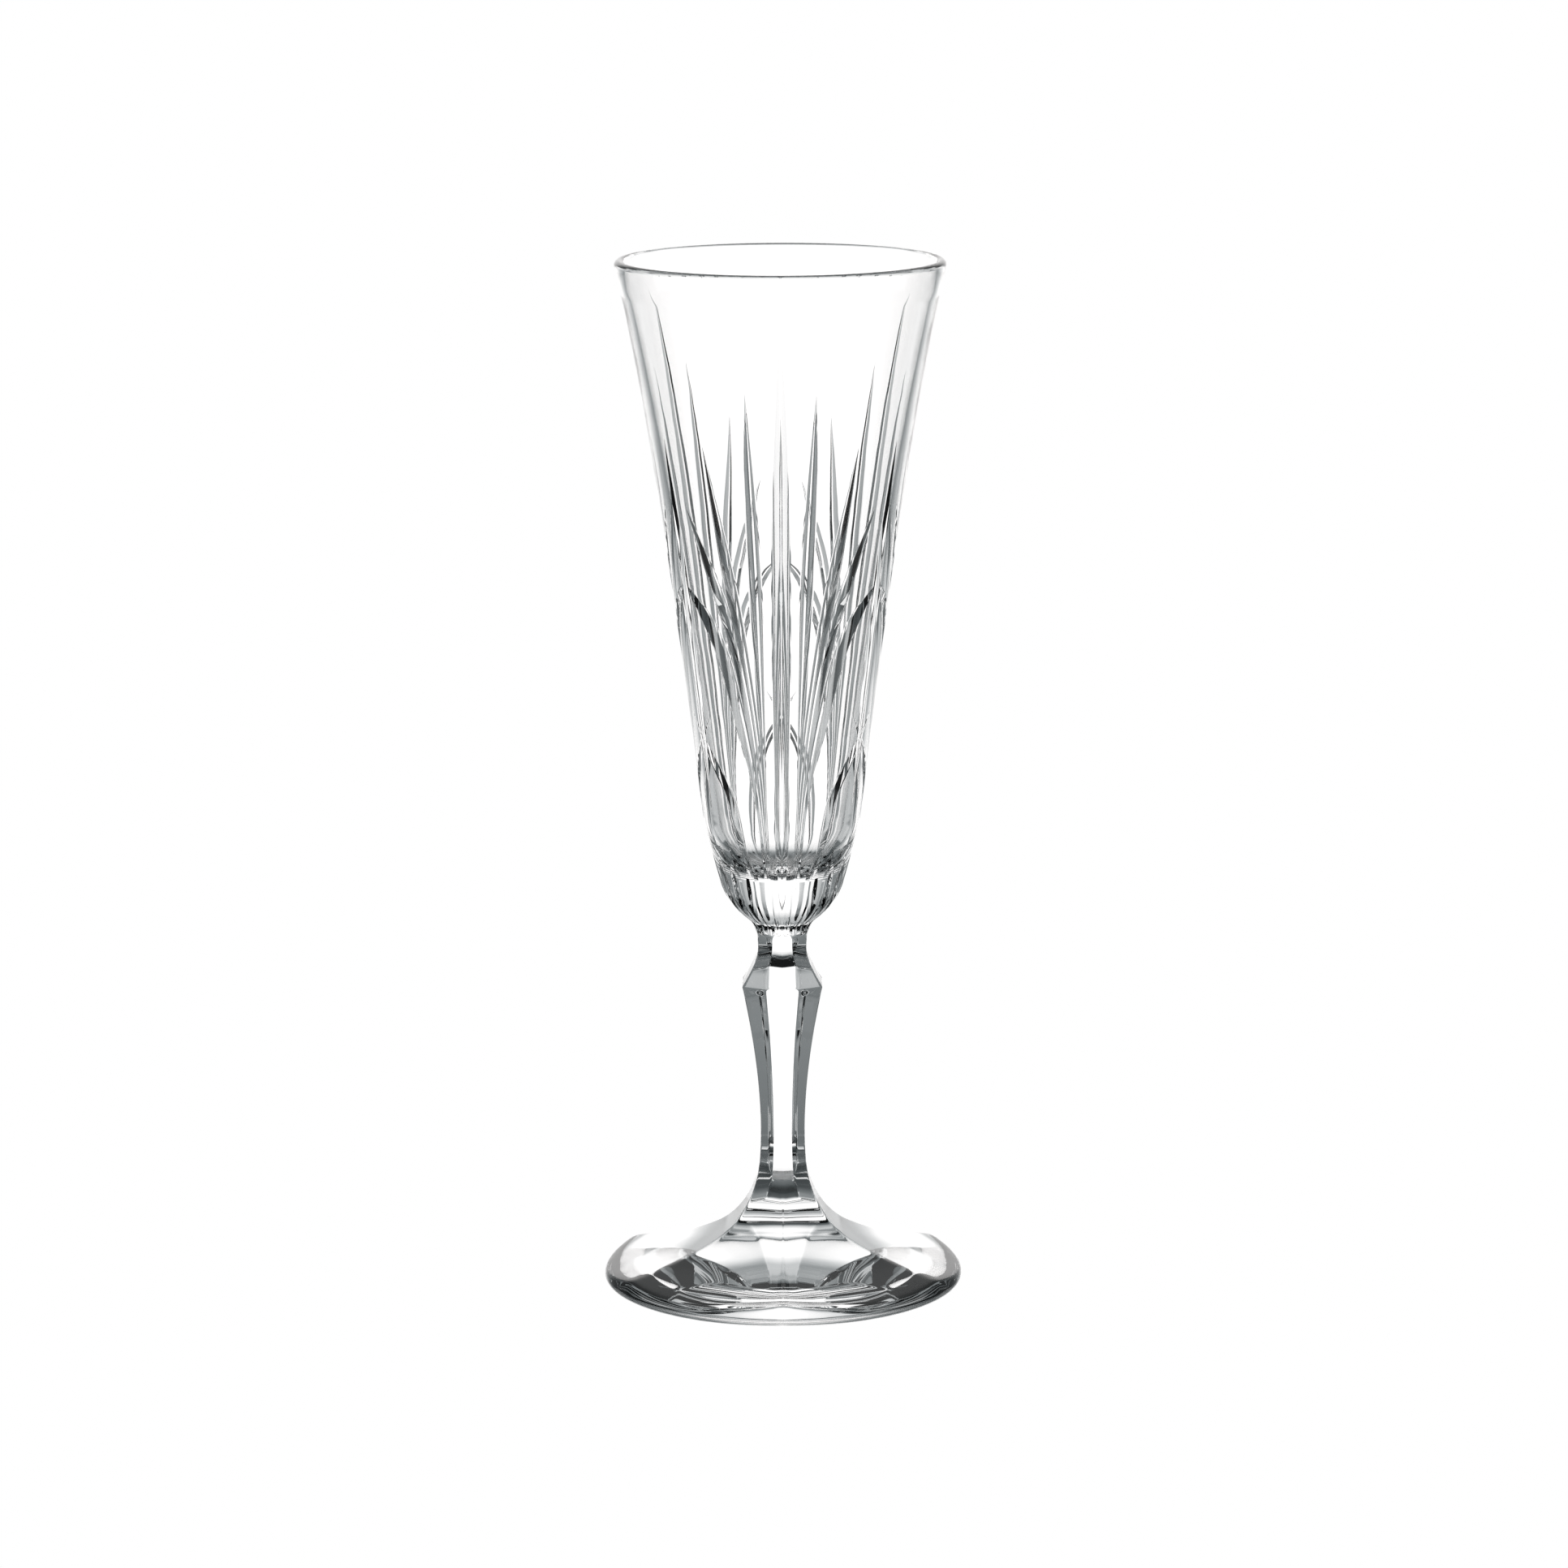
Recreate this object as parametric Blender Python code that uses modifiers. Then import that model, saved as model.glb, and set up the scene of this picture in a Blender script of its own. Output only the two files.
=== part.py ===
"""Cut-crystal champagne flute: bowl, stem and foot. Metres, +Z up, standing on Z = 0."""

import math

import bmesh
import bpy
from mathutils import Matrix, Vector

NAME = "champagne_flute"

# Overall sizes
HEIGHT = 0.2100
RIM_RADIUS = 0.0331
FOOT_RADIUS = 0.0365
WALL = 0.0022
JOINT_GAP = 0.0003

# Heights of the two hot joins, taken at the middle of each gap
NECK_Z = 0.0710
FOOT_Z = 0.0240

# Bowl, outside. Rises are above the neck join.
LIP_ROUND = 0.00085
WAIST_RADIUS = 0.0158
WAIST_RISE = 0.0260
TURN_RADIUS = 0.0122
TURN_RISE = 0.0121
UNDER_RADIUS = 0.0071
UNDER_RISE = 0.0054
NECK_RADIUS = 0.0049

# Bowl, inside. The glass gets thicker downwards.
LIP_DEPTH = 0.0045
WAIST_WALL = 0.0030
CORNER_WALL = 0.0034
CAVITY_FLOOR_RISE = 0.0150
CORNER_RISE = 0.0012

# Stem: half the distance across the flats of the hexagon
SIDES = 6
CORNER = 1 / math.cos(math.pi / SIDES)
NECK_STEP = 0.0001
KNOP_DROP = 0.0080
KNOP_FLATS = 0.0081
KNOP_EDGE = 0.0005
STEM_WAIST_FLATS = 0.00447
STEM_WAIST_RISE = 0.0084
STEM_END_FLATS = 0.00503
EDGE_ROUND = 0.0004

# Foot. Insets are from its widest radius.
EDGE_INSET = 0.00105
CONTACT_INSET = 0.0041
CONTACT_WIDTH = 0.0039
WIDEST_Z = 0.0023
EDGE_Z = 0.0058
HOLLOW_RISE = 0.0009
FLARE_RADIUS = 0.0148
FLARE_Z = 0.0115
FLARE_REACH = 0.00179
FLARE_END_Z = 0.0033

# How each curve leaves its first point and arrives at its last, as shares of the step between them
LIP_TO_WAIST = ((0.465, 0.31), (0.275, 0.33))
WAIST_TO_TURN = ((0.278, 0.324), (0.361, 0.331))
TURN_TO_UNDER = ((0.196, 0.418), (0.451, 0.269))
UNDER_TO_NECK = ((0.591, 0.185), (0.0, 0.481))
FLOOR_TO_CORNER = ((0.341, 0.0), (0.261, 1.0))
CORNER_TO_WAIST = ((0.45, 0.112), (0.25, 0.561))
WAIST_TO_LIP = ((0.285, 0.33), (0.455, 0.31))
NECK_TO_KNOP = ((0.0, 0.29), (0.443, 0.355))
KNOP_TO_WAIST = ((0.579, 0.34), (0.0, 0.33))
WAIST_TO_END = ((0.0, 0.364), (0.714, 0.303))
END_TO_FLARE = ((0.099, 0.377), (0.556, 0.227))
FLARE_TO_EDGE = ((0.323, 0.573), (0.404, 0.402))
EDGE_TO_WIDEST = ((0.81, 0.229), (0.0, 0.343))
WIDEST_TO_CONTACT = ((0.0, 0.609), (0.537, 0.0))
CONTACT_TO_HOLLOW = ((0.158, 1.0), (0.421, 0.0))

# Cuts: three fans around the bowl. Turns are in degrees from a fan's middle, reaches are shares
# of the height from the cuts' roots to the rim.
FANS = 3
CUT_SLOPE = 1.35
CUT_CLEAR = 0.0012
CUT_STATIONS = 7
ROOT_RISE = 0.0165
LONG_DEPTH = 0.0012
SHORT_DEPTH = 0.0010
MIDDLE_REACH = 0.951
LONG_ROOTS = (5, 8, 10, 11)
LONG_TIPS = (14.3, 35.5, 49.6, 60)
LONG_REACHES = (0.812, 0.718, 0.611, 0.478)
LONG_BENDS = (0.7, 1.1, 1.5, 2.0)
SHORT_ROOT = 27
SHORT_TIP = 57
SHORT_REACH = 0.241
SHORT_BEND = 1.4
BETWEEN_FROM = 0.306
BETWEEN_REACH = 0.706
ROOT_SHARE = 0.25
BLADE_SWELL = 5.0
TIP_LIFT = 0.2

# Petals under the bowl
PETALS = 20
PETAL_DEPTH = 0.00045
PETAL_TOP_RISE = 0.0150
PETAL_END_RISE = 0.0058

# Mesh fineness
STEPS = 72
LONG_CURVE = 9
FLARE_CURVE = 7
KNOP_CURVE = 6
SHORT_CURVE = 4
FLOOR_CURVE = 3
ARC_POINTS = 6
SHARP_DEGREES = 28
MERGE = 0.0001
TWIN = 0.000003


def clear_scene():
    for old in list(bpy.data.objects):
        bpy.data.objects.remove(old, do_unlink=True)


def make_collection(name):
    group = bpy.data.collections.new(name)
    bpy.context.scene.collection.children.link(group)
    return group


def glass(name, colour):
    """Clear crystal glass."""
    mat = bpy.data.materials.new(name)
    mat.use_nodes = True
    shader = mat.node_tree.nodes["Principled BSDF"]
    shader.inputs["Base Color"].default_value = colour
    shader.inputs["Roughness"].default_value = 0.02
    shader.inputs["IOR"].default_value = 1.52
    shader.inputs["Transmission Weight"].default_value = 1.0
    return mat


def curve(start, end, pulls, count):
    """Points along a cubic curve, without its first one. Pulls are shares of the step from start to end."""
    leave, arrive = pulls
    step = (end[0] - start[0], end[1] - start[1])
    first = (start[0] + leave[0] * step[0], start[1] + leave[1] * step[1])
    last = (end[0] - arrive[0] * step[0], end[1] - arrive[1] * step[1])
    points = []
    for i in range(1, count + 1):
        t = i / count
        u = 1 - t
        weights = (u**3, 3 * u * u * t, 3 * u * t * t, t**3)
        corners = (start, first, last, end)
        x = sum(w * c[0] for w, c in zip(weights, corners))
        z = sum(w * c[1] for w, c in zip(weights, corners))
        points.append((x, z))
    return points


def arc(centre, radius, first, last, count):
    """Points around an arc, angles in degrees from +X towards +Z."""
    points = []
    for i in range(count + 1):
        angle = math.radians(first + (last - first) * i / count)
        x = centre[0] + radius * math.cos(angle)
        z = centre[1] + radius * math.sin(angle)
        points.append((x, z))
    return points


def bowl_outside():
    """The bowl's outer outline, from under the lip down to the neck."""
    lip = (RIM_RADIUS, HEIGHT - LIP_ROUND)
    waist = (WAIST_RADIUS, NECK_Z + WAIST_RISE)
    turn = (TURN_RADIUS, NECK_Z + TURN_RISE)
    under = (UNDER_RADIUS, NECK_Z + UNDER_RISE)
    neck = (NECK_RADIUS, NECK_Z + JOINT_GAP / 2)
    points = curve(lip, waist, LIP_TO_WAIST, LONG_CURVE)
    points += curve(waist, turn, WAIST_TO_TURN, SHORT_CURVE)
    points += curve(turn, under, TURN_TO_UNDER, SHORT_CURVE)
    points += curve(under, neck, UNDER_TO_NECK, SHORT_CURVE)
    return points


def cavity():
    """The bowl's inner outline, from the middle of its floor up to the lip."""
    floor = (0.0, NECK_Z + CAVITY_FLOOR_RISE)
    corner = (TURN_RADIUS - CORNER_WALL, floor[1] + CORNER_RISE)
    waist = (WAIST_RADIUS - WAIST_WALL, NECK_Z + WAIST_RISE)
    top = (RIM_RADIUS - WALL, HEIGHT - LIP_DEPTH)
    points = [floor]
    points += curve(floor, corner, FLOOR_TO_CORNER, FLOOR_CURVE)
    points += curve(corner, waist, CORNER_TO_WAIST, SHORT_CURVE)
    points += curve(waist, top, WAIST_TO_LIP, LONG_CURVE)
    return points


def bowl_outline():
    lip = arc((RIM_RADIUS - LIP_ROUND, HEIGHT - LIP_ROUND), LIP_ROUND, 180, 0, ARC_POINTS)
    base = [(0.0, NECK_Z + JOINT_GAP / 2)]
    return cavity() + lip + bowl_outside() + base


def stem_outline():
    """Outline along the stem's corners, from its top face down to its bottom face."""
    top = (NECK_RADIUS - NECK_STEP, NECK_Z - JOINT_GAP / 2)
    knop_z = NECK_Z - KNOP_DROP
    knop_top = (KNOP_FLATS - KNOP_EDGE / 2, knop_z + KNOP_EDGE / 2)
    knop_low = (KNOP_FLATS, knop_z - KNOP_EDGE / 2)
    waist = (STEM_WAIST_FLATS, FOOT_Z + STEM_WAIST_RISE)
    end = (STEM_END_FLATS, FOOT_Z + JOINT_GAP / 2)
    flats = [(0.0, top[1]), top]
    flats += curve(top, knop_top, NECK_TO_KNOP, KNOP_CURVE)
    flats.append(knop_low)
    flats += curve(knop_low, waist, KNOP_TO_WAIST, LONG_CURVE)
    flats += curve(waist, end, WAIST_TO_END, SHORT_CURVE)
    flats.append((0.0, end[1]))
    return [(x * CORNER, z) for x, z in flats]


def flare_outline():
    """Outline along the corners of the six-sided slope that the foot's top is cut to."""
    top = (STEM_END_FLATS * CORNER, FOOT_Z - JOINT_GAP / 2)
    middle = (FLARE_RADIUS, FLARE_Z)
    end = ((FOOT_RADIUS - EDGE_INSET + FLARE_REACH) * CORNER, FLARE_END_Z)
    points = [(0.0, top[1]), top]
    points += curve(top, middle, END_TO_FLARE, FLARE_CURVE)
    points += curve(middle, end, FLARE_TO_EDGE, KNOP_CURVE)
    below = -JOINT_GAP
    points += [(end[0], below), (0.0, below)]
    return points


def foot_outline():
    """Round outline that trims the foot, with a shallow hollow underneath."""
    above = FOOT_Z + JOINT_GAP
    edge = (FOOT_RADIUS - EDGE_INSET, EDGE_Z)
    widest = (FOOT_RADIUS, WIDEST_Z)
    contact = (FOOT_RADIUS - CONTACT_INSET, 0.0)
    hollow = (contact[0] - CONTACT_WIDTH, 0.0)
    points = [(0.0, above), (edge[0], above), edge]
    points += curve(edge, widest, EDGE_TO_WIDEST, SHORT_CURVE)
    points += curve(widest, contact, WIDEST_TO_CONTACT, SHORT_CURVE)
    points.append(hollow)
    points += curve(hollow, (0.0, HOLLOW_RISE), CONTACT_TO_HOLLOW, SHORT_CURVE)
    return points


def turned(name, outline, steps, group):
    """A solid turned around Z from an outline given as (x, z) points."""
    mesh = bpy.data.meshes.new(name)
    verts = [(x, 0.0, z) for x, z in outline]
    edges = [(i, i + 1) for i in range(len(verts) - 1)]
    mesh.from_pydata(verts, edges, [])
    solid = bpy.data.objects.new(name, mesh)
    group.objects.link(solid)
    screw = solid.modifiers.new("turn", "SCREW")
    screw.axis = "Z"
    screw.angle = 2 * math.pi
    screw.steps = steps
    screw.render_steps = steps
    screw.use_merge_vertices = True
    screw.merge_threshold = MERGE
    return solid


def apply_modifiers(solid):
    """Replaces an object's mesh with the result of its modifiers."""
    bpy.context.view_layer.update()
    result = solid.evaluated_get(bpy.context.evaluated_depsgraph_get())
    mesh = bpy.data.meshes.new_from_object(result)
    old = solid.data
    solid.modifiers.clear()
    solid.data = mesh
    bpy.data.meshes.remove(old)


def add_boolean(solid, tool, operation):
    cut = solid.modifiers.new(operation.lower(), "BOOLEAN")
    cut.operation = operation
    cut.solver = "EXACT"
    cut.use_self = True
    cut.object = tool


def face_forward(solid):
    """Turns a six-sided solid so that one of its corners faces -Y."""
    solid.data.transform(Matrix.Rotation(math.pi / SIDES, 4, "Z"))


def finish(solid, material):
    solid.data.materials.clear()
    solid.data.materials.append(material)
    solid.data.shade_smooth()
    solid.data.set_sharp_from_angle(angle=math.radians(SHARP_DEGREES))


def outside_radius(outline, z):
    """The outline's radius at a height."""
    for high, low in zip(outline, outline[1:]):
        if low[1] <= z <= high[1]:
            share = (z - low[1]) / (high[1] - low[1])
            return low[0] + share * (high[0] - low[0])
    return outline[0][0] if z > outline[0][1] else outline[-1][0]


def cut_section(outline, turn, z, depth):
    """Three corners of a V across a cut: two outside the glass and one in it."""
    radius = outside_radius(outline, z)
    half = CUT_SLOPE * (depth + CUT_CLEAR)
    out = Vector((math.sin(turn), -math.cos(turn), 0.0))
    side = Vector((math.cos(turn), math.sin(turn), 0.0))
    height = Vector((0.0, 0.0, z))
    edge = out * (radius + CUT_CLEAR) + height
    return (edge - side * half, edge + side * half, out * (radius - depth) + height)


def add_cut(body, outline, route, depths):
    """Adds one V-shaped cut along a route of (degrees, height) stations."""
    rings = []
    for (degrees, z), depth in zip(route, depths):
        corners = cut_section(outline, math.radians(degrees), z, depth)
        verts = [body.verts.new(c) for c in corners]
        rings.append([body.edges.new((verts[i], verts[i - 1])) for i in range(len(verts))])
    for lower, upper in zip(rings, rings[1:]):
        bmesh.ops.bridge_loops(body, edges=lower + upper)
    for end in (rings[0], rings[-1]):
        bmesh.ops.edgeloop_fill(body, edges=end)


def spread(root, tip, bend, count):
    """Stations from a root to a tip, leaning out early or late as bend says."""
    stations = []
    for i in range(count):
        t = i / (count - 1)
        degrees = root[0] + (tip[0] - root[0]) * t**bend
        stations.append((degrees, root[1] + (tip[1] - root[1]) * t))
    return stations


def blade_depths(deepest, count):
    """Cut depth from root to tip: shallow at the root, then deep, running out at the tip."""
    depths = []
    for i in range(count):
        t = i / (count - 1)
        share = (1 - t) * (ROOT_SHARE + BLADE_SWELL * t * t) - TIP_LIFT * t**3
        depths.append(deepest * share)
    return depths


def fan_routes(centre):
    """Root, tip, bend and depth of each cut in one fan, as (degrees, height) points."""
    root_z = NECK_Z + ROOT_RISE
    rise = HEIGHT - root_z
    routes = [((centre, root_z), (centre, root_z + MIDDLE_REACH * rise), 1.0, LONG_DEPTH)]
    for side in (-1, 1):
        for root, tip, reach, bend in zip(LONG_ROOTS, LONG_TIPS, LONG_REACHES, LONG_BENDS):
            end = (centre + side * tip, root_z + reach * rise)
            routes.append(((centre + side * root, root_z), end, bend, LONG_DEPTH))
        end = (centre + side * SHORT_TIP, root_z + SHORT_REACH * rise)
        routes.append(((centre + side * SHORT_ROOT, root_z), end, SHORT_BEND, SHORT_DEPTH))
    between = centre + 180 / FANS
    start = (between, root_z + BETWEEN_FROM * rise)
    routes.append((start, (between, root_z + BETWEEN_REACH * rise), 1.0, SHORT_DEPTH))
    return routes


def bowl_cuts(group):
    """All the cuts around the bowl, as one tool."""
    outline = [(RIM_RADIUS, HEIGHT - LIP_ROUND)] + bowl_outside()
    body = bmesh.new()
    for fan in range(FANS):
        for root, tip, bend, deepest in fan_routes(fan * 360 / FANS):
            stations = spread(root, tip, bend, CUT_STATIONS)
            add_cut(body, outline, stations, blade_depths(deepest, CUT_STATIONS))
    for petal in range(PETALS):
        degrees = (petal + 0.5) * 360 / PETALS
        top = (degrees, NECK_Z + PETAL_TOP_RISE)
        end = (degrees, NECK_Z + PETAL_END_RISE)
        stations = spread(end, top, 1.0, CUT_STATIONS)
        add_cut(body, outline, stations, [PETAL_DEPTH] * CUT_STATIONS)
    bmesh.ops.recalc_face_normals(body, faces=body.faces)
    mesh = bpy.data.meshes.new("bowl_cuts")
    body.to_mesh(mesh)
    body.free()
    tool = bpy.data.objects.new("bowl_cuts", mesh)
    tool.display_type = "WIRE"
    tool.hide_render = True
    group.objects.link(tool)
    return tool


def clean_cuts(solid):
    """Merges the twin points where cuts cross, and removes loose crumbs of glass left there."""
    body = bmesh.new()
    body.from_mesh(solid.data)
    bmesh.ops.remove_doubles(body, verts=body.verts, dist=TWIN)
    left = set(body.faces)
    pieces = []
    while left:
        piece = [left.pop()]
        for face in piece:
            near = {f for edge in face.edges for f in edge.link_faces} & left
            left -= near
            piece += list(near)
        pieces.append(piece)
    pieces.sort(key=len)
    for crumb in pieces[:-1]:
        bmesh.ops.delete(body, geom=crumb, context="FACES")
    body.to_mesh(solid.data)
    body.free()


def make_bowl(group, tools):
    bowl = turned("bowl", bowl_outline(), STEPS, group)
    apply_modifiers(bowl)
    bowl.data.transform(Matrix.Rotation(math.pi / STEPS, 4, "Z"))
    add_boolean(bowl, bowl_cuts(tools), "DIFFERENCE")
    apply_modifiers(bowl)
    clean_cuts(bowl)
    finish(bowl, glass("bowl", (0.98, 0.99, 0.99, 1.0)))


def round_corners(solid):
    """Rounds the long corners of a six-sided solid, and leaves its rings and ends alone."""
    body = bmesh.new()
    body.from_mesh(solid.data)
    corners = []
    for edge in body.edges:
        run = edge.verts[1].co - edge.verts[0].co
        outside = all(v.co.xy.length > EDGE_ROUND for v in edge.verts)
        if outside and abs(run.z) > 0.5 * abs(run.to_2d().length) and len(edge.link_faces) == 2:
            corners.append(edge)
    bmesh.ops.bevel(
        body, geom=corners, offset=EDGE_ROUND, segments=2, profile=0.5, affect="EDGES", clamp_overlap=True
    )
    body.to_mesh(solid.data)
    body.free()


def make_stem(group):
    stem = turned("stem", stem_outline(), SIDES, group)
    apply_modifiers(stem)
    face_forward(stem)
    round_corners(stem)
    finish(stem, glass("stem", (0.97, 0.98, 0.98, 1.0)))


def make_foot(group, tools):
    foot = turned("foot", foot_outline(), STEPS, group)
    apply_modifiers(foot)
    flare = turned("foot_flare", flare_outline(), SIDES, tools)
    apply_modifiers(flare)
    face_forward(flare)
    flare.display_type = "WIRE"
    flare.hide_render = True
    add_boolean(foot, flare, "INTERSECT")
    apply_modifiers(foot)
    finish(foot, glass("foot", (0.97, 0.98, 0.98, 1.0)))


def main():
    clear_scene()
    group = make_collection(NAME)
    tools = make_collection(NAME + "_cutters")
    make_bowl(group, tools)
    make_stem(group)
    make_foot(group, tools)


main()
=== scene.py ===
import math

import bmesh
import bpy
import numpy as np
from mathutils import Matrix, Vector


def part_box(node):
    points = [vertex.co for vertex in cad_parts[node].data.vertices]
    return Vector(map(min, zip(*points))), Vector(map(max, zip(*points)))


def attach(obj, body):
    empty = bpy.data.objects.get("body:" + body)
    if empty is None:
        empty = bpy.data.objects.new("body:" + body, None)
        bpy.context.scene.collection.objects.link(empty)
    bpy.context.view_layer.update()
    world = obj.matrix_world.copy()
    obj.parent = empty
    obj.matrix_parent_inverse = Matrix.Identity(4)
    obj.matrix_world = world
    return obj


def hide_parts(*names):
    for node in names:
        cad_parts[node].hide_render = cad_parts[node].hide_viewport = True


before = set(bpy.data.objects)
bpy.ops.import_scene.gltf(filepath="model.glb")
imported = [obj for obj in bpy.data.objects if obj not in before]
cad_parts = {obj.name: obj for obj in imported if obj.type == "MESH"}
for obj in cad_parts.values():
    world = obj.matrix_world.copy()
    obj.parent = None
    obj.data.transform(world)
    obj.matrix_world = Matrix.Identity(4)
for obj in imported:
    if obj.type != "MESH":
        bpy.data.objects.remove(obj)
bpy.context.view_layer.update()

MM = 0.001

# ---------------------------------------------------------------- sizes

bowl_low, bowl_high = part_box("bowl")
stem_low, stem_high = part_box("stem")
foot_low, foot_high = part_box("foot")

RIM_R = bowl_high[0] / MM
TOP_Z = bowl_high[2] / MM
NECK_Z = (bowl_low[2] + stem_high[2]) / 2 / MM
FOOT_Z = (stem_low[2] + foot_high[2]) / 2 / MM
FOOT_R = foot_high[0] / MM

# Lengths below are in millimetres.
COLUMNS = 252          # around; a multiple of six keeps a column on each corner
CORNER_POWER = 64      # how tightly the six corners are rounded
SEAM = 0.05            # how far the mould seam stands out, down the front and the back

LIP_R = 1.05
LIP_WALL = 2.6         # wall at LIP_DEPTH under the rim
LIP_DEPTH = 5.5
WAIST_R = 15.8         # where the bowl starts to turn in
WAIST_WALL = 3.0
WAIST_RISE = 26
FLOOR_RISE = 14.6
NECK_R = 4.9

KNOP_Z = FOOT_Z + 39
KNOP_A = 8.1           # half across the flats, as every _A
STEM_WAIST_A = 4.47
STEM_END_A = 5.03

EDGE_R = 35.45         # where the foot's top turns over
WIDEST_Z = 2.3
CONTACT_R = 32.4
HOLLOW_R = 28.5
HOLLOW_Z = 0.9
SLOPE_ROUND_A = 14     # from here outwards the six-sided slope turns round


# ---------------------------------------------------------------- outlines

def bezier(a, b, c, d, count):
    """Points along a cubic curve from a to d, without a."""
    t = np.linspace(0, 1, count + 1)[1:, None]
    a, b, c, d = (np.array(p, float) for p in (a, b, c, d))
    return (1 - t) ** 3 * a + 3 * (1 - t) ** 2 * t * b + 3 * (1 - t) * t * t * c + t**3 * d


def arc(centre, radius, first, last, count):
    """Points around an arc, angles in degrees from outwards towards up."""
    angle = np.radians(np.linspace(first, last, count))
    return np.stack([centre[0] + radius * np.cos(angle), centre[1] + radius * np.sin(angle)], 1)


def smooth_curve(points, at):
    """A smooth curve through (x, y) points with rising x, read at x = at."""
    points = np.array(points, float)
    x, y = points[:, 0], points[:, 1]
    slope = np.gradient(y, x)
    at = np.clip(at, x[0], x[-1])
    i = np.clip(np.searchsorted(x, at) - 1, 0, len(x) - 2)
    width = x[i + 1] - x[i]
    t = (at - x[i]) / width
    return (
        (1 + 2 * t) * (1 - t) ** 2 * y[i]
        + t * (1 - t) ** 2 * width * slope[i]
        + t * t * (3 - 2 * t) * y[i + 1]
        + t * t * (t - 1) * width * slope[i + 1]
    )


def bowl_outline():
    """(radius, height) down the bowl's outside, from the lip to the neck join."""
    lip = (RIM_R, TOP_Z - LIP_R)
    waist = (WAIST_R, NECK_Z + WAIST_RISE)
    turn = (12.2, NECK_Z + 12.1)
    under = (7.1, NECK_Z + 5.4)
    neck = (NECK_R, NECK_Z)
    flare, drop = lip[0] - waist[0], lip[1] - waist[1]
    return np.vstack([
        [lip],
        bezier(lip, (lip[0] - 0.465 * flare, lip[1] - 0.31 * drop),
               (waist[0] + 0.275 * flare, waist[1] + 0.33 * drop), waist, 90),
        bezier(waist, (waist[0] - 1.0, waist[1] - 4.5), (turn[0] + 1.3, turn[1] + 4.6), turn, 18),
        bezier(turn, (turn[0] - 1.0, turn[1] - 2.8), (under[0] + 2.3, under[1] + 1.8), under, 16),
        bezier(under, (under[0] - 1.3, under[1] - 1.0), (neck[0], neck[1] + 2.6), neck, 16),
    ])


def cavity_outline():
    """(radius, height) up the inside of the bowl, from the middle of its floor."""
    floor = NECK_Z + FLOOR_RISE
    corner = (8.4, floor + 2.2)
    waist = (WAIST_R - WAIST_WALL, NECK_Z + WAIST_RISE)
    top = (RIM_R - LIP_WALL, TOP_Z - LIP_DEPTH)
    rise, flare = top[1] - waist[1], top[0] - waist[0]
    return np.vstack([
        bezier((0, floor), (3.6, floor), (6.6, floor + 0.7), corner, 18),
        bezier(corner, (corner[0] + 1.5, corner[1] + 1.3), (waist[0] - 1.0, waist[1] - 5.0), waist, 14),
        bezier(waist, (waist[0] + 0.285 * flare, waist[1] + 0.33 * rise),
               (top[0] - 0.455 * flare, top[1] - 0.31 * rise), top, 60),
        arc((RIM_R - LIP_R, TOP_Z - LIP_R), LIP_R, 180, 8, 14),
    ])


def stem_outline():
    """(half across flats, height) down the stem."""
    top = (NECK_R, NECK_Z)
    over = (KNOP_A - 0.25, KNOP_Z + 0.30)
    knop = (KNOP_A, KNOP_Z - 0.25)
    waist = (STEM_WAIST_A, FOOT_Z + 8.4)
    end = (STEM_END_A, FOOT_Z)
    drop = KNOP_Z - waist[1]
    return np.vstack([
        [top],
        bezier(top, (top[0] - 0.05, NECK_Z - 2.6), (6.3, KNOP_Z + 2.9), over, 26),
        bezier(over, (KNOP_A - 0.1, KNOP_Z + 0.1), (KNOP_A, KNOP_Z), knop, 6),
        bezier(knop, (6.0, KNOP_Z - 0.34 * drop), (waist[0], waist[1] + 0.33 * drop), waist, 50),
        bezier(waist, (waist[0], waist[1] - 3.0), (4.65, FOOT_Z + 2.5), end, 14),
    ])


def slope_outline():
    """(half across flats, height) down the foot's six-sided slope."""
    flat = math.cos(math.pi / 6)
    top = (STEM_END_A, FOOT_Z)
    middle = (14.8 * flat, 11.5)
    end = (43.0 * flat, 3.3)
    return np.vstack([
        [top],
        bezier(top, (6.7 * flat, 19.2), (9.8 * flat, 14.3), middle, 30),
        bezier(middle, (23.9 * flat, 6.8), (31.6 * flat, 6.6), end, 40),
    ])


# ---------------------------------------------------------------- turned and six-sided solids

AROUND = np.linspace(0, 2 * math.pi, COLUMNS, endpoint=False)


def hexagon(power=CORNER_POWER):
    """Half across flats over radius, for each column: 1 on a flat, least on a corner. A corner faces -Y."""
    flats = np.radians(30 + 60 * np.arange(6))
    share = np.maximum(np.cos(AROUND[:, None] - flats[None, :]), 0)
    return (share**power).sum(1) ** (1 / power)


HEX = hexagon()
SEAM_LINE = np.where(np.arange(COLUMNS) % (COLUMNS // 2) == 0, SEAM, 0)


def ring(radius, height):
    """One ring of points. Column 0 faces -Y, and columns run towards +X."""
    radius = np.broadcast_to(radius, AROUND.shape)
    height = np.broadcast_to(height, AROUND.shape)
    return np.stack([radius * np.sin(AROUND), -radius * np.cos(AROUND), height], 1)


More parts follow.
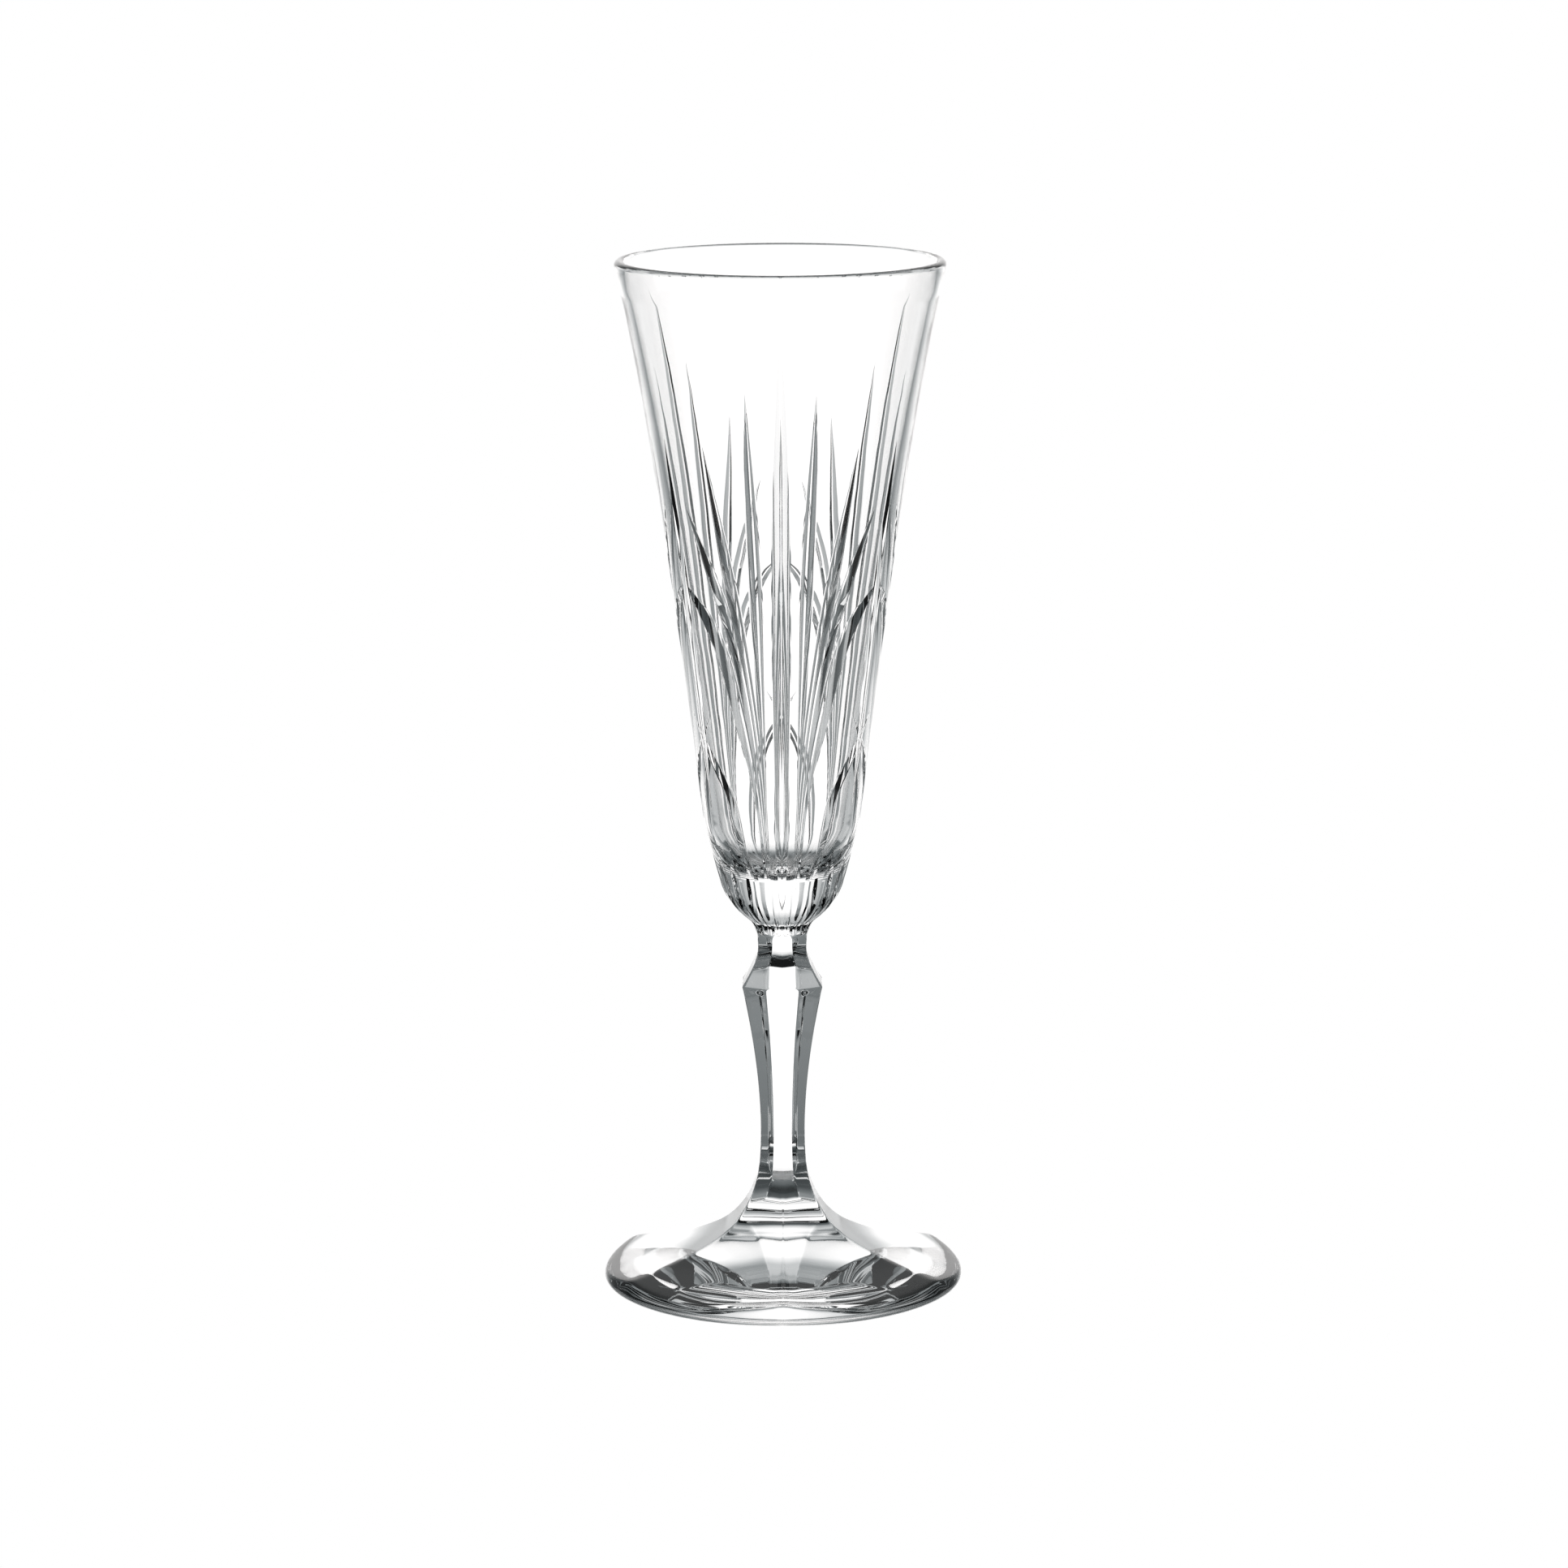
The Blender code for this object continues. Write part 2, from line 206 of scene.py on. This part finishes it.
def skin(name, rings, caps, sharp=40):
    """A closed mesh from rings listed down the outside. Each end is closed by a flat face or by a point
    at the height given in caps."""
    verts = np.vstack(rings)
    count, n = len(rings), COLUMNS
    faces = []
    for r in range(count - 1):
        a, b = r * n, (r + 1) * n
        for c in range(n):
            d = (c + 1) % n
            faces.append((a + c, b + c, b + d, a + d))
    extra = []
    for first, cap in ((True, caps[0]), (False, caps[1])):
        base = 0 if first else (count - 1) * n
        loop = [base + c for c in range(n)]
        if cap == "flat":
            faces.append(tuple(loop if first else loop[::-1]))
        else:
            tip = len(verts) + len(extra)
            extra.append((0, 0, cap))
            for c in range(n):
                d = (c + 1) % n
                faces.append((base + c, base + d, tip) if first else (base + d, base + c, tip))
    if extra:
        verts = np.vstack([verts, extra])
    mesh = bpy.data.meshes.new(name)
    mesh.from_pydata((verts * MM).tolist(), [], faces)
    mesh.update()
    piece = bpy.data.objects.new(name, mesh)
    bpy.context.scene.collection.objects.link(piece)
    mesh.shade_smooth()
    mesh.set_sharp_from_angle(angle=math.radians(sharp))
    return piece


def bowl_body():
    """The uncut bowl. Its neck turns from round to six-sided just above the join."""
    outside, inside = bowl_outline(), cavity_outline()
    rings = [ring(r, z) for r, z in inside]
    for r, z in outside:
        six = np.clip((NECK_Z + 4.0 - z) / 3.0, 0, 1)
        six = six * six * (3 - 2 * six)
        rings.append(ring(r / (1 - six + six * HEX) + six * SEAM_LINE, z))
    return skin("bowl_glass", rings, (inside[0][1], "flat"))


def stem_body():
    """The stem, with the mould seam on its front and back corners."""
    rings = [ring(a / HEX + SEAM_LINE, z) for a, z in stem_outline()]
    return skin("stem_glass", rings, ("flat", "flat"))


def foot_body():
    """The foot: rings over the six-sided slope turn round towards the edge, go over it and underneath."""
    outline = slope_outline()
    across, height = outline[:, 0], outline[:, 1]
    rings = []
    for a, z in outline:
        reach = a / HEX
        if a > SLOPE_ROUND_A:
            share = min(1.0, (a - SLOPE_ROUND_A) / (EDGE_R - SLOPE_ROUND_A))
            reach = reach * (1 - share) + share * a
        if np.max(reach) > EDGE_R - 0.3:
            break
        seam = SEAM_LINE * np.clip((SLOPE_ROUND_A - a) / 9, 0, 1)
        rings.append(ring(reach + seam, np.interp(reach * HEX, across, height)))
    last = EDGE_R - 0.12
    rings.append(ring(last, np.interp(last * HEX, across, height)))
    top = np.interp(EDGE_R * HEX, across, height)
    for t in np.linspace(0, 1, 12)[1:]:
        turn = t * math.pi / 2
        out = EDGE_R + (FOOT_R - EDGE_R) * math.sin(turn) ** 0.8
        rings.append(ring(out, WIDEST_Z + (top - 0.12 - WIDEST_Z) * math.cos(turn)))
    contact, hollow, middle = (CONTACT_R, 0), (HOLLOW_R, 0), (0.4, HOLLOW_Z)
    under = np.vstack([
        bezier((FOOT_R, WIDEST_Z), (FOOT_R, 0.9), (34.6, 0), contact, 12),
        bezier(contact, (31.1, 0), (29.8, 0), hollow, 3),
        bezier(hollow, (24, HOLLOW_Z), (12, HOLLOW_Z), middle, 24),
    ])
    rings += [ring(r, z) for r, z in under]
    return skin("foot_glass", rings, ("flat", HOLLOW_Z))


# ---------------------------------------------------------------- cuts in the bowl

# One fan. Each cut: (height, degrees from the fan's middle, width of the wall towards the middle,
# width of the wall away from it) up its length. The inner wall is the steep one.
MIDDLE = (
    (80, 0, 0.0, 0.0), (86, 0, 0.9, 0.9), (100, 0, 1.5, 1.5), (120, 0, 1.9, 1.9), (150, 0, 2.1, 2.1),
    (160, 0, 2.05, 2.05), (170, 0, 1.75, 1.75), (180, 0, 1.3, 1.3), (204, 0, 0.0, 0.0),
)
SIDES = (
    ((84, 10.2, 0.2, 0.2), (100, 11, 0.3, 0.3), (110, 11.5, 0.4, 0.4), (120, 12, 0.7, 0.7),
     (130, 12.6, 1.0, 1.0), (140, 13, 1.35, 1.35), (150, 13.3, 1.4, 1.4), (165, 14, 1.15, 1.15),
     (175, 14.2, 0.7, 0.7), (187, 14.3, 0.0, 0.0)),
    ((84, 10.6, 0.2, 0.2), (100, 12, 0.3, 0.3), (110, 13.8, 0.5, 0.5), (120, 17, 0.9, 0.8),
     (130, 20.6, 1.2, 1.0), (140, 24.3, 1.45, 1.2), (150, 28, 1.45, 1.2), (160, 31.5, 1.2, 0.8),
     (168, 33.8, 0.6, 0.4), (175.5, 35.5, 0.0, 0.0)),
    ((84, 11.3, 0.2, 0.3), (100, 13.5, 0.35, 0.5), (110, 16, 0.5, 0.8), (121, 20, 1.0, 1.1),
     (133.5, 26, 1.3, 1.2), (143, 32, 1.3, 1.5), (150, 37.8, 1.1, 1.4), (156, 43.5, 0.7, 0.8),
     (162.4, 49.6, 0.0, 0.0)),
    ((84, 12.8, 0.3, 0.4), (100, 15, 0.4, 0.8), (107, 17.7, 0.5, 0.9), (113, 21, 0.7, 1.4),
     (118, 23.7, 0.9, 1.9), (124, 27.5, 1.1, 2.0), (128, 30, 1.25, 2.1), (133.5, 34, 1.3, 2.2),
     (139, 40.5, 1.3, 2.4), (143, 48, 1.0, 2.0), (147, 60, 0.0, 0.0)),
    ((82, 26, 0.2, 0.2), (91, 30, 0.6, 0.8), (95, 31.8, 0.85, 1.1), (100, 34.5, 1.05, 1.2),
     (105, 39.5, 1.2, 1.3), (108, 45, 1.2, 1.4), (111.5, 52, 1.0, 1.3), (120, 71, 0.0, 0.0)),
)
BETWEEN = (
    (100, 60, 0.0, 0.0), (116, 60, 1.1, 1.1), (140, 60, 1.6, 1.6), (155, 60, 1.3, 1.3), (176, 60, 0.0, 0.0),
)
PETAL = (
    (73.6, 0, 0.3, 0.3), (75.2, 0, 0.95, 0.95), (77, 0, 1.2, 1.2), (80, 0, 1.65, 1.65), (84, 0, 2.0, 2.0),
    (88, 0, 1.4, 1.4), (90.5, 0, 0.0, 0.0),
)
PETALS = 20
MIDDLE_SLOPE = 2.1     # a wall's width over its depth
SIDE_SLOPE = 1.25
PETAL_SLOPE = 5.2
STATIONS = 26
CLEAR = 0.6            # how far the cutters stand out of the glass
TINY = 0.02            # a wall narrower than this isn't cut
# A cut's cross-section, from its border to its bottom: share of the wall's width and of the depth.
SECTION = ((1.12, 0.0), (0.84, 0.14), (0.16, 0.95))


def outside_radius(z):
    outline = bowl_outline()[::-1]
    return np.interp(z, outline[:, 1], outline[:, 0])


def add_cut(body, stations, slope, turn, side=1):
    """Adds one V-shaped cut, its edges eased, to the cutters. A side of -1 mirrors it."""
    stations = np.array(stations, float)
    rings = []
    for z in np.linspace(stations[0][0], stations[-1][0], STATIONS):
        degrees, inner, outer = (float(smooth_curve(stations[:, [0, i]], z)) for i in (1, 2, 3))
        angle = math.radians(degrees * side + turn)
        depth = inner / slope if inner > TINY else -TINY
        inner, outer = max(inner, 0.05), max(outer, 0.05)
        out = Vector((math.sin(angle), -math.cos(angle), 0))
        across = Vector((math.cos(angle), math.sin(angle), 0)) * side
        middle = out * outside_radius(z) + Vector((0, 0, z))
        low = [(-inner * x, depth * y) for x, y in SECTION]
        high = [(outer * x, depth * y) for x, y in SECTION[::-1]]
        rim_low = (low[0][0] - 0.6 * CLEAR, -CLEAR)
        rim_high = (high[-1][0] + 0.6 * CLEAR, -CLEAR)
        points = [rim_low, *low, *high, rim_high]
        verts = [body.verts.new((middle + across * x - out * y) * MM) for x, y in points]
        rings.append([body.edges.new((verts[i], verts[i - 1])) for i in range(len(verts))])
    for a, b in zip(rings, rings[1:]):
        bmesh.ops.bridge_loops(body, edges=a + b)
    for end in (rings[0], rings[-1]):
        bmesh.ops.edgeloop_fill(body, edges=end)


def cutters():
    """All the cuts: three fans, the blades between them, and the ring of petals."""
    body = bmesh.new()
    for turn in (0, 120, 240):
        add_cut(body, MIDDLE, MIDDLE_SLOPE, turn)
        for stations in SIDES:
            add_cut(body, stations, SIDE_SLOPE, turn)
            add_cut(body, stations, SIDE_SLOPE, turn, -1)
        add_cut(body, BETWEEN, SIDE_SLOPE, turn)
    for petal in range(PETALS):
        add_cut(body, PETAL, PETAL_SLOPE, (petal + 0.5) * 360 / PETALS)
    bmesh.ops.recalc_face_normals(body, faces=body.faces)
    mesh = bpy.data.meshes.new("cutters")
    body.to_mesh(mesh)
    body.free()
    tool = bpy.data.objects.new("cutters", mesh)
    bpy.context.scene.collection.objects.link(tool)
    return tool


def cut_bowl(bowl):
    """Cuts the bowl, and shades it smooth where a cut's eased edges are."""
    tool = cutters()
    cut = bowl.modifiers.new("cuts", "BOOLEAN")
    cut.operation = "DIFFERENCE"
    cut.solver = "EXACT"
    cut.use_self = True
    cut.object = tool
    bpy.context.view_layer.update()
    result = bowl.evaluated_get(bpy.context.evaluated_depsgraph_get())
    mesh = bpy.data.meshes.new_from_object(result)
    bowl.modifiers.clear()
    bowl.data = mesh
    mesh.name = "bowl_glass"
    bpy.data.objects.remove(tool)
    drop_crumbs(bowl)
    mesh.shade_smooth()
    mesh.set_sharp_from_angle(angle=math.radians(9))


def drop_crumbs(piece):
    """Removes loose crumbs that crossing cuts leave."""
    body = bmesh.new()
    body.from_mesh(piece.data)
    left = set(body.faces)
    parts = []
    while left:
        part = [left.pop()]
        for face in part:
            near = {f for edge in face.edges for f in edge.link_faces} & left
            left -= near
            part += list(near)
        parts.append(part)
    parts.sort(key=len)
    for crumb in parts[:-1]:
        bmesh.ops.delete(body, geom=crumb, context="FACES")
    body.to_mesh(piece.data)
    body.free()


# ---------------------------------------------------------------- materials

GLASS_IOR = 1.53
WAVES_PER_METRE = 110    # the faint waviness of pressed glass
WAVE_HEIGHT = 0.035


def glass(name):
    """Clear crystal, its surface faintly wavy."""
    mat = bpy.data.materials.new(name)
    mat.use_nodes = True
    shader = mat.node_tree.nodes["Principled BSDF"]
    shader.inputs["Base Color"].default_value = (1, 1, 1, 1)
    shader.inputs["Roughness"].default_value = 0.0
    shader.inputs["IOR"].default_value = GLASS_IOR
    shader.inputs["Transmission Weight"].default_value = 1.0
    tree = mat.node_tree
    place = tree.nodes.new("ShaderNodeTexCoord")
    waves = tree.nodes.new("ShaderNodeTexNoise")
    waves.inputs["Scale"].default_value = WAVES_PER_METRE
    waves.inputs["Detail"].default_value = 1.0
    bump = tree.nodes.new("ShaderNodeBump")
    bump.inputs["Strength"].default_value = 1.0
    bump.inputs["Distance"].default_value = WAVE_HEIGHT * MM
    tree.links.new(place.outputs["Object"], waves.inputs["Vector"])
    tree.links.new(waves.outputs["Fac"], bump.inputs["Height"])
    tree.links.new(bump.outputs["Normal"], shader.inputs["Normal"])
    return mat


def fused():
    """The face where two pieces are fused: there is glass on both sides, so light passes straight."""
    mat = bpy.data.materials.new("fused_face")
    mat.use_nodes = True
    shader = mat.node_tree.nodes["Principled BSDF"]
    shader.inputs["Alpha"].default_value = 0.0
    return mat


def fuse_faces(piece, material, heights):
    """Gives the flat faces at the joins the fused material."""
    piece.data.materials.append(material)
    for face in piece.data.polygons:
        if abs(face.normal.z) < 0.999:
            continue
        if any(abs(face.center.z / MM - z) < 0.02 for z in heights):
            face.material_index = len(piece.data.materials) - 1


# ---------------------------------------------------------------- stage, light and camera

# How bright the studio is, by degrees aside from straight behind the glass, and by degrees up.
SCREEN_ASIDE = (
    (0, 1.25), (17, 1.2), (22, 0.95), (26, 0.66), (33, 0.34), (45, 0.14), (60, 0.05), (75, 0), (180, 0),
)
SCREEN_RISE = (
    (-90, 0), (-52, 0), (-44, 0.3), (-37, 0.62), (-30, 0.82), (-24, 0.95), (-17, 1), (25, 1), (30, 0.8),
    (37, 0.5), (60, 0.45), (75, 0.4), (90, 0.4),
)
ROOM_ASIDE = (
    (0, 0.22), (50, 0.22), (65, 0.13), (80, 0.05), (95, 0.06), (108, 0.18), (150, 0.22), (180, 0.25),
)
ROOM_RISE = (
    (-90, 0.15), (-60, 0.25), (-45, 0.5), (-30, 0.8), (-15, 0.9), (10, 1.1), (35, 1.3), (60, 2), (90, 2),
)
# Soft light panels, the same on both sides of the glass: middle and half width in degrees aside,
# lowest and highest degrees up, brightness.
PANELS = (
    (45, 9, -31, -18, 0.58), (92, 12, -10, 7, 0.9), (131, 10, -37, -31, 0.75), (136, 9, -22, -6, 0.68),
    (180, 25, -30, 12, 0.7),
)
DIM_POWERS = (1.05, 1.0, 0.985)      # of red, green and blue
PANEL_ASIDE_FADE, PANEL_RISE_FADE = 5, 3    # degrees over which a panel's edges fade

# The stage, in metres
STAGE_REACH = 6.0
STAGE_HEIGHT = 5.0
STAGE_SIDES = 48
STAGE_FLOOR = -0.0003


def white_light(name):
    """A plain white surface that looks the same from everywhere."""
    mat = bpy.data.materials.new(name)
    mat.use_nodes = True
    nodes = mat.node_tree.nodes
    nodes.clear()
    out = nodes.new("ShaderNodeOutputMaterial")
    emit = nodes.new("ShaderNodeEmission")
    emit.inputs["Color"].default_value = (1, 1, 1, 1)
    emit.inputs["Strength"].default_value = 1.0
    mat.node_tree.links.new(emit.outputs[0], out.inputs["Surface"])
    return mat


def sheet(name, verts, faces, material):
    """A surface of the stage that only the camera sees. It lights nothing."""
    mesh = bpy.data.meshes.new(name)
    mesh.from_pydata(verts, [], faces)
    mesh.materials.append(material)
    piece = bpy.data.objects.new(name, mesh)
    bpy.context.scene.collection.objects.link(piece)
    piece.visible_diffuse = False
    piece.visible_glossy = False
    piece.visible_transmission = False
    piece.visible_shadow = False


def make_stage():
    """A pale floor, and a wall of the same colour far away all around it."""
    white = white_light("pale")
    turns = [2 * math.pi * i / STAGE_SIDES for i in range(STAGE_SIDES)]
    low = [(STAGE_REACH * math.cos(t), STAGE_REACH * math.sin(t), STAGE_FLOOR) for t in turns]
    top = [(x, y, STAGE_HEIGHT) for x, y, _ in low]
    walls = []
    for i in range(STAGE_SIDES):
        after = (i + 1) % STAGE_SIDES
        walls.append((i, after, after + STAGE_SIDES, i + STAGE_SIDES))
    ceiling = tuple(range(STAGE_SIDES, 2 * STAGE_SIDES))
    sheet("floor", low, [tuple(range(STAGE_SIDES))], white)
    sheet("wall", low + top, [*walls, ceiling], white)


class Nodes:
    """Short names for building a node tree."""

    def __init__(self, tree):
        self.tree = tree

    def put(self, socket, value):
        if isinstance(value, bpy.types.NodeSocket):
            self.tree.links.new(value, socket)
        else:
            socket.default_value = value

    def maths(self, operation, *values):
        node = self.tree.nodes.new("ShaderNodeMath")
        node.operation = operation
        for socket, value in zip(node.inputs, values):
            self.put(socket, value)
        return node.outputs[0]

    def level(self, value, stops):
        """Reads a curve, given as (value, level) stops, at a value."""
        low, high = stops[0][0], stops[-1][0]
        share = self.maths("DIVIDE", self.maths("SUBTRACT", value, low), high - low)
        node = self.tree.nodes.new("ShaderNodeValToRGB")
        ramp = node.color_ramp
        ramp.interpolation = "LINEAR"
        for number, (at, shade) in enumerate(stops):
            place = (at - low) / (high - low)
            if number == 0:
                stop = ramp.elements[0]
                stop.position = place
            elif number == len(stops) - 1:
                stop = ramp.elements[-1]
                stop.position = place
            else:
                stop = ramp.elements.new(place)
            stop.color = (shade, shade, shade, 1)
        self.put(node.inputs[0], share)
        return node.outputs[0]

    def cool(self, light):
        """White where the light is full, and a little blue where it is dim."""
        node = self.tree.nodes.new("ShaderNodeCombineColor")
        for socket, power in zip(node.inputs, DIM_POWERS):
            self.put(socket, self.maths("POWER", light, power))
        return node.outputs[0]


def make_world():
    """A big soft white screen behind the glass, dim grey around it, and soft panels on both sides."""
    world = bpy.data.worlds.new("studio")
    world.use_nodes = True
    tree = world.node_tree
    make = Nodes(tree)
    place = tree.nodes.new("ShaderNodeTexCoord")
    split = tree.nodes.new("ShaderNodeSeparateXYZ")
    tree.links.new(place.outputs["Generated"], split.inputs[0])
    x, y, z = split.outputs
    aside = make.maths("ABSOLUTE", make.maths("DEGREES", make.maths("ARCTAN2", x, y)))
    rise = make.maths("DEGREES", make.maths("ARCSINE", z))
    screen = make.maths("MULTIPLY", make.level(aside, SCREEN_ASIDE), make.level(rise, SCREEN_RISE))
    around = make.maths("MULTIPLY", make.level(aside, ROOM_ASIDE), make.level(rise, ROOM_RISE))
    light = make.maths("MAXIMUM", screen, around)
    for middle, half, low, high, bright in PANELS:
        off = make.maths("ABSOLUTE", make.maths("SUBTRACT", aside, middle))
        across = make.level(off, ((0, 1), (half, 1), (half + PANEL_ASIDE_FADE, 0), (180, 0)))
        fades = (low - PANEL_RISE_FADE, high + PANEL_RISE_FADE)
        up = make.level(rise, ((-90, 0), (fades[0], 0), (low, 1), (high, 1), (fades[1], 0), (90, 0)))
        panel = make.maths("MULTIPLY", make.maths("MULTIPLY", across, up), bright)
        light = make.maths("MAXIMUM", light, panel)
    background = tree.nodes["Background"]
    tree.links.new(make.cool(light), background.inputs["Color"])
    background.inputs["Strength"].default_value = 1.0
    bpy.context.scene.world = world


CAMERA_PLACE = (0.00046, -1.1968, 0.33215)
CAMERA_LENS = 138.6        # on a sensor 36 mm wide
CAMERA_DOWN = 10.8         # degrees
CAMERA_ROLL = -0.173


def make_camera():
    """A long lens in front of the glass, a little above its rim."""
    cam = bpy.data.cameras.new("camera")
    cam.sensor_width = 36
    cam.lens = CAMERA_LENS
    cam.clip_start = 0.01
    cam.clip_end = 100
    view = bpy.data.objects.new("camera", cam)
    view.matrix_world = (
        Matrix.Translation(CAMERA_PLACE)
        @ Matrix.Rotation(math.radians(90 - CAMERA_DOWN), 4, "X")
        @ Matrix.Rotation(math.radians(CAMERA_ROLL), 4, "Z")
    )
    bpy.context.scene.collection.objects.link(view)
    bpy.context.scene.camera = view


# ---------------------------------------------------------------- build

bowl = bowl_body()
cut_bowl(bowl)
stem = stem_body()
foot = foot_body()
joined = fused()
for piece, node, joins in (
    (bowl, "bowl", (NECK_Z,)),
    (stem, "stem", (NECK_Z, FOOT_Z)),
    (foot, "foot", (FOOT_Z,)),
):
    piece.data.materials.clear()
    piece.data.materials.append(glass(node + "_glass"))
    fuse_faces(piece, joined, joins)
    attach(piece, "root")
    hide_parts(node)

make_stage()
make_world()
make_camera()
bpy.context.scene.view_settings.view_transform = "Standard"
